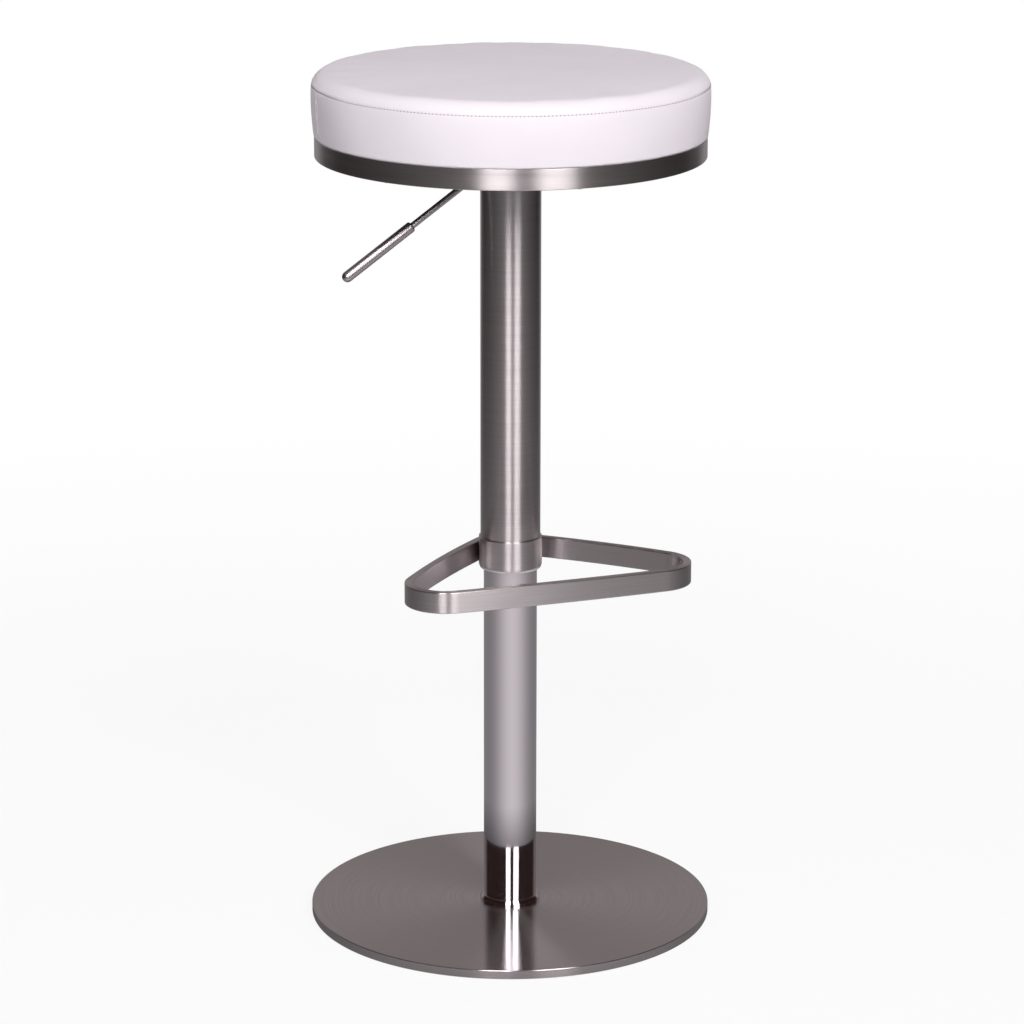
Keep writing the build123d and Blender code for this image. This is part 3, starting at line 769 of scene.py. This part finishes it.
def stitches_tree():
    """Stitches laid end to end along the line they are given, each a little barrel of thread."""
    tree, given, keys = new_tree("stitches_on_a_line", (("Pitch", "Float"), ("Stitch", "Float"),
                                                         ("Thread", "Float"), ("Finish", "Material")))
    line = add(tree, "GeometryNodeMeshToCurve", {"Mesh": given.outputs["Geometry"]})
    points = add(tree, "GeometryNodeCurveToPoints", {"Curve": line, "Length": given.outputs["Pitch"]},
                 mode="LENGTH")
    barrel = add(tree, "GeometryNodeMeshUVSphere", {"Segments": 6, "Rings": 5, "Radius": 0.5})
    scale = add(tree, "ShaderNodeCombineXYZ", [given.outputs[key] for key in ("Thread", "Thread", "Stitch")])
    row = add(tree, "GeometryNodeInstanceOnPoints", {"Points": points, "Instance": barrel, "Scale": scale,
                                                     "Rotation": points.outputs["Rotation"]})
    close_tree(tree, given, row)
    return tree, keys


def ring_tree():
    """Copies of one piece, spread evenly round the column's axis and turned to face out."""
    tree, given, keys = new_tree("copies_on_a_ring", (
        ("Piece", "Object"), ("Count", "Int"), ("Radius", "Float"), ("Height", "Float"), ("Start", "Float"),
        ("Finish", "Material")))
    count = given.outputs["Count"]
    circle = add(tree, "GeometryNodeMeshCircle", {"Vertices": count, "Radius": given.outputs["Radius"]})
    shape = add(tree, "GeometryNodeObjectInfo", {"Object": given.outputs["Piece"]}).outputs["Geometry"]
    share = add(tree, "ShaderNodeMath", (2 * math.pi, count), operation="DIVIDE")
    angle = add(tree, "ShaderNodeMath", (add(tree, "GeometryNodeInputIndex"), share), operation="MULTIPLY")
    row = add(tree, "GeometryNodeInstanceOnPoints", {
        "Points": circle, "Instance": shape, "Rotation": add(tree, "ShaderNodeCombineXYZ", {2: angle})})
    lift = add(tree, "ShaderNodeCombineXYZ", {2: given.outputs["Height"]})
    turn = add(tree, "ShaderNodeCombineXYZ", {2: given.outputs["Start"]})
    close_tree(tree, given, add(tree, "GeometryNodeTransform",
                                {"Geometry": row, "Translation": lift, "Rotation": turn}))
    return tree, keys


def grown(mesh, tree, keys, values):
    """The plain mesh that a tree makes of a starting mesh with these inputs."""
    host = linked("host", mesh)
    modifier = host.modifiers.new("grow", "NODES")
    modifier.node_group = tree
    for label, value in values.items():
        modifier[keys[label]] = value
    made = plain_mesh(host)
    bpy.data.objects.remove(host)
    return made


def line_mesh(points, closed):
    mesh = bpy.data.meshes.new("line")
    edges = [(i, i + 1) for i in range(len(points) - 1)] + ([(len(points) - 1, 0)] if closed else [])
    mesh.from_pydata(points, edges, [])
    return mesh


def build_stitches(cushion, outline, angles):
    """One row below the seam all round with its needle holes, which are grey barrels of painted shade, and
    one row beside the upright seam.
    """
    tree, keys = stitches_tree()
    mesh = cushion.data
    count = len(angles)
    first = 0
    ring_at = {}
    for r, z in outline:
        ring_at[(r, z)] = first
        first += 1 if r < 1e-6 else count
    seam, above = ring_at[GROOVE], ring_at[GROOVE_LIP]
    points = [(mesh.vertices[seam + j].co * 0.5 + mesh.vertices[above + j].co * 0.5) for j in range(count)]
    half_pitch = Matrix.Rotation(1.8 / 184, 4, "Z")
    holes = [half_pitch @ (p + outward(p) * 0.1 * MM) for p in points]
    aside = min(range(count), key=lambda j: abs(angles[j] - SEAM_TURN - 3.4 / BAND_RADIUS))
    upright = [mesh.vertices[ring_at[(r, z)] + aside].co.copy() for r, z in outline if 764 < z < 808]
    upright = [p + outward(p) * 0.05 * MM for p in upright]
    # the line, whether it closes, then pitch, length and thickness in mm
    for name, line, closed, pitch, stitch, thread, look in (
            ("seam_stitches", points, True, 3.6, 2.5, 0.55, "thread"),
            # the needle holes are painted shade: grey barrels set between the stitches
            ("seam_needle_holes", holes, True, 3.6, 1.5, 1.0, "needle_hole_painted_shade"),
            ("upright_stitches", upright, False, 3.0, 2.3, 0.55, "thread")):
        made = grown(line_mesh(line, closed), tree, keys, {"Pitch": pitch * MM, "Stitch": stitch * MM,
                                                           "Thread": thread * MM, "Finish": FINISH[look]})
        piece(name, made, look, "seat_column")


def build_fixings():
    """Staples in the dust cover and the pan-head screws that hold the seat ring."""
    tree, keys = ring_tree()
    staple = box_mesh((0.7, 11.0, 0.7), 0.22)
    head = turned([(0, -0.5), (1.25, -0.5), (1.3, -1.55), (2.2, -1.45), (2.65, -1.0), (2.85, -0.4),
                   (2.9, 0.0), (0, 0.0)], 24)
    # how many, the circle's radius and height in mm, and the first one's turn in degrees
    for name, shape, count, radius, height, start, stands_for in (
            ("cover_staples", staple, 16, 164, size("seat_board")[1] - 1.05, 11.25, "dust_cover_staples"),
            ("ring_screw_heads", head, 6, 174.5, size("seat_trim_ring")[1], 30, "trim_ring_screws")):
        one = linked("one", shape)
        made = grown(line_mesh([(0, 0, 0)], False), tree, keys,
                     {"Piece": one, "Count": count, "Radius": radius * MM, "Height": height * MM,
                      "Start": math.radians(start), "Finish": FINISH["zinc"]})
        bpy.data.objects.remove(one)
        piece(name, made, "zinc", "seat_column", [stands_for])


def build_dust_cover():
    """Black cloth under the seat, cut out round the plate, with slack puckers between its staples."""
    low = size("dust_cover")[1]
    outer, half, count, steps = 170.0, 91.5, 256, 16
    thick = 0.35
    made = bmesh.new()
    under, over = [], []
    for i in range(steps + 1):
        t = i / steps
        below, above = [], []
        for j in range(count):
            a = 2 * math.pi * j / count
            c, s = math.cos(a), math.sin(a)
            inner = min(half / max(abs(c), abs(s)), 122.0)
            r = inner + (outer - inner) * t
            slack = math.sin(math.pi * min(1, t * 1.05)) * 0.35
            slack += 0.4 * (0.5 - 0.5 * math.cos(16 * (a - math.radians(11.25)))) * t * t
            slack += 0.18 * noise.noise(Vector((r * c * 0.03, r * s * 0.03, 0.4)))
            z = low + 0.25 - slack
            below.append(made.verts.new((r * c * MM, r * s * MM, z * MM)))
            above.append(made.verts.new((r * c * MM, r * s * MM, (z + thick) * MM)))
        under.append(below)
        over.append(above)
    for j in range(count):
        k = (j + 1) % count
        for i in range(steps):
            made.faces.new([under[i][j], under[i][k], under[i + 1][k], under[i + 1][j]])
            made.faces.new([over[i][j], over[i + 1][j], over[i + 1][k], over[i][k]])
        made.faces.new([under[0][j], over[0][j], over[0][k], under[0][k]])
        made.faces.new([under[-1][j], under[-1][k], over[-1][k], over[-1][j]])
    bmesh.ops.recalc_face_normals(made, faces=made.faces)
    cloth = piece("dust_cloth_stapled", meshed(made), "cloth", "seat_column",
                  ["dust_cover"], 60)


# ---------------------------------------------------------------- studio
def heading(degrees):
    """A level direction, that many degrees to the right of where we stand, seen from the column."""
    a = math.radians(degrees)
    toward = Vector((-math.sin(VIEW_TURN), -math.cos(VIEW_TURN), 0))
    right = Vector((math.cos(VIEW_TURN), -math.sin(VIEW_TURN), 0))
    return toward * math.cos(a) + right * math.sin(a)


# Softboxes and fill: middle and width of each in degrees to our right, lowest and highest in degrees up from
# the column's middle, what metal mirrors of it, what it casts on cloth and plastic
LIGHTS = {
    "left_softbox_low": (-8.0, 18.5, 10.0, 20.0, 2.2, 4.8),
    "left_softbox_high": (-8.0, 18.5, 20.0, 50.0, 9.3, 11.1),
    "right_softbox_low": (26.8, 22.0, 10.0, 20.0, 3.0, 4.8),
    "right_softbox_high": (26.8, 22.0, 20.0, 50.0, 8.6, 10.4),
    "left_fill": (-50.0, 24.0, 0.0, 40.0, 0.0, 1.8),
    "right_fill": (70.0, 24.0, 0.0, 40.0, 0.0, 1.5),
    "rear_fill": (180.0, 60.0, -4.0, 14.0, 0.0, 2.0),
}
LIGHT_DISTANCE, LIGHT_CENTRE = 5.0, 0.5      # metres from the column, and the height they are measured from


def build_lights():
    """Two tall softboxes in front, brightest in their upper parts, and a low fill behind. What metal mirrors
    of a light and what it casts on the cover are set apart."""
    for name, (middle, width, low, high, mirrored, cast) in LIGHTS.items():
        across = 2 * LIGHT_DISTANCE * math.tan(math.radians(width / 2))
        bottom, top = (LIGHT_CENTRE + LIGHT_DISTANCE * math.tan(math.radians(e)) for e in (low, high))
        for use, radiance in (("mirrored", mirrored), ("cast", cast)):
            if radiance <= 0:
                continue
            light = bpy.data.lights.new(f"{name}_{use}", "AREA")
            light.shape, light.size, light.size_y = "RECTANGLE", across, top - bottom
            light.energy = radiance * math.pi * across * (top - bottom)
            light.color = (1.0, 0.975, 0.985)
            lamp = linked(light.name, light)
            way = heading(middle)
            lamp.location = way * LIGHT_DISTANCE + Vector((0, 0, (bottom + top) / 2))
            lamp.rotation_euler = (-way).to_track_quat("-Z", "Y").to_euler()
            lamp.visible_camera = lamp.visible_transmission = False
            lamp.visible_glossy = use == "mirrored"
            lamp.visible_diffuse = use == "cast"


def build_world():
    """White to the eye, even grey for cloth, and for metal a dark room with a grey wall behind the stool."""
    world = bpy.data.worlds.new("studio")
    bpy.context.scene.world = world
    tree = empty_tree(world)
    ray = add(tree, "ShaderNodeLightPath")
    way = add(tree, "ShaderNodeTexCoord").outputs["Generated"]
    x, y, up = add(tree, "ShaderNodeSeparateXYZ", (way,)).outputs
    level = add(tree, "ShaderNodeVectorMath", (add(tree, "ShaderNodeCombineXYZ", (x, y)),),
                operation="NORMALIZE")
    behind = add(tree, "ShaderNodeVectorMath", (level, heading(180)), operation="DOT_PRODUCT")
    wall = add(tree, "ShaderNodeMapRange", (behind.outputs["Value"], 0.5, 0.72, 0.0, 1.0))
    height = add(tree, "ShaderNodeMapRange", (up, 0.15, 0.9, 1.0, 0.55))
    wall = add(tree, "ShaderNodeMath", (wall, height), operation="MULTIPLY")
    ceiling = add(tree, "ShaderNodeMapRange", (up, 0.72, 0.98, 0.0, 0.75))
    wall = add(tree, "ShaderNodeMath", (wall, ceiling), operation="MAXIMUM")
    room = add(tree, "ShaderNodeMix", {"Factor": wall, "A": (0.028, 0.0135, 0.011, 1),
                                       "B": (0.32, 0.295, 0.295, 1)}, data_type="RGBA").outputs["Result"]
    cast, metal, white = (add(tree, "ShaderNodeBackground", {"Color": colour, "Strength": strength})
                          for colour, strength in (((1.0, 0.985, 1.0, 1), 0.185), (room, 1.0),
                                                   ((1, 1, 1, 1), 1.0)))
    glossy = add(tree, "ShaderNodeMixShader", (ray.outputs["Is Glossy Ray"], cast, metal))
    seen = add(tree, "ShaderNodeMixShader", (ray.outputs["Is Camera Ray"], glossy, white))
    add(tree, "ShaderNodeOutputWorld", {"Surface": seen})


def build_floor():
    """A pale floor: near white to the eye with a breath of shadow. Metal sees it lit mostly in front, and
    that is painted light: the floor glows, with a painted pool of light in front and a painted shadow round
    the stool's foot.
    """
    mesh = bpy.data.meshes.new("floor")
    reach = 30.0
    mesh.from_pydata([(-reach, -reach, 0), (reach, -reach, 0), (reach, reach, 0), (-reach, reach, 0)], [],
                     [(0, 1, 2, 3)])
    floor = linked("floor", mesh)
    floor.location.z = -0.0004
    material = bpy.data.materials.new("pale_floor")
    tree = empty_tree(material)
    mesh.materials.append(material)
    ray = add(tree, "ShaderNodeLightPath")
    place = add(tree, "ShaderNodeTexCoord").outputs["Object"]
    away = add(tree, "ShaderNodeVectorMath", (place,), operation="LENGTH").outputs["Value"]
    way = add(tree, "ShaderNodeVectorMath", (place,), operation="NORMALIZE")
    front, back = (add(tree, "ShaderNodeVectorMath", (way, heading(turn)), operation="DOT_PRODUCT")
                   for turn in (8, 180))
    # painted light: the lit pool in front, a glow which fades out with distance
    front = add(tree, "ShaderNodeMapRange", (front.outputs["Value"], -1.0, 1.0, 0.0, 1.0))
    pool = add(tree, "ShaderNodeMath", (front, 3.3), operation="POWER")
    pool = add(tree, "ShaderNodeMapRange", (pool, 0.0, 1.0, 0.27, 0.82))
    fade = add(tree, "ShaderNodeMapRange", (away, 1.15, 1.9, 1.0, 0.08))
    pool = add(tree, "ShaderNodeMath", (pool, fade), operation="MULTIPLY")
    # painted light and shadow: a dimmer lit patch behind, and the stool's own shade painted round its foot
    back = add(tree, "ShaderNodeMapRange", (back.outputs["Value"], 0.74, 0.9, 0.0, 0.31))
    pool = add(tree, "ShaderNodeMath", (pool, back), operation="MAXIMUM")
    shade = add(tree, "ShaderNodeMapRange", (away, 0.21, 0.34, 0.4, 1.0))
    pool = add(tree, "ShaderNodeMath", (pool, shade), operation="MULTIPLY")
    near = add(tree, "ShaderNodeMapRange", (away, 0.7, 2.0, 0.13, 0.0))
    power = add(tree, "ShaderNodeMix", {"Factor": ray.outputs["Is Glossy Ray"], "A": 0.22, "B": pool},
                data_type="FLOAT")
    unseen = add(tree, "ShaderNodeEmission", {"Color": (1.0, 0.972, 0.985, 1), "Strength": power})
    paint = add(tree, "ShaderNodeBsdfDiffuse", {"Color": (0.85, 0.85, 0.85, 1)})
    glow = add(tree, "ShaderNodeEmission", {"Color": (1, 1, 1, 1), "Strength": 1.0})
    eye = add(tree, "ShaderNodeMixShader", (near, glow, paint))
    both = add(tree, "ShaderNodeMixShader", (ray.outputs["Is Camera Ray"], unseen, eye))
    # from below the floor lets the eye through, so that the stool's underside can be looked at
    below = add(tree, "ShaderNodeNewGeometry").outputs["Backfacing"]
    both = add(tree, "ShaderNodeMixShader", (below, both, add(tree, "ShaderNodeBsdfTransparent")))
    add(tree, "ShaderNodeOutputMaterial", {"Surface": both})


def build_camera():
    """Stands 3.7 m off at eye height, turned 20.5 degrees from the sitter's front, with a long lens."""
    lens = bpy.data.cameras.new("camera")
    lens.sensor_width, lens.lens = 36.0, 142.6
    lens.clip_start, lens.clip_end = 0.1, 100.0
    camera = linked("camera", lens)
    distance, height = 3.717, 1.411
    turn = (Matrix.Rotation(-VIEW_TURN - math.radians(0.023), 4, "Z")
            @ Matrix.Rotation(math.radians(90 - 15.24), 4, "X")
            @ Matrix.Rotation(math.radians(0.076), 4, "Z"))
    camera.matrix_world = Matrix.Translation(heading(0) * distance + Vector((0, 0, height))) @ turn
    bpy.context.scene.camera = camera
    bpy.context.scene.view_settings.view_transform = "Standard"


finish_packed_parts()
build_foot()
build_column()
build_footrest()
build_lever()
build_seat_ring()
build_stitches(*build_cushion())
build_fixings()
build_dust_cover()
build_lights()
build_world()
build_floor()
build_camera()
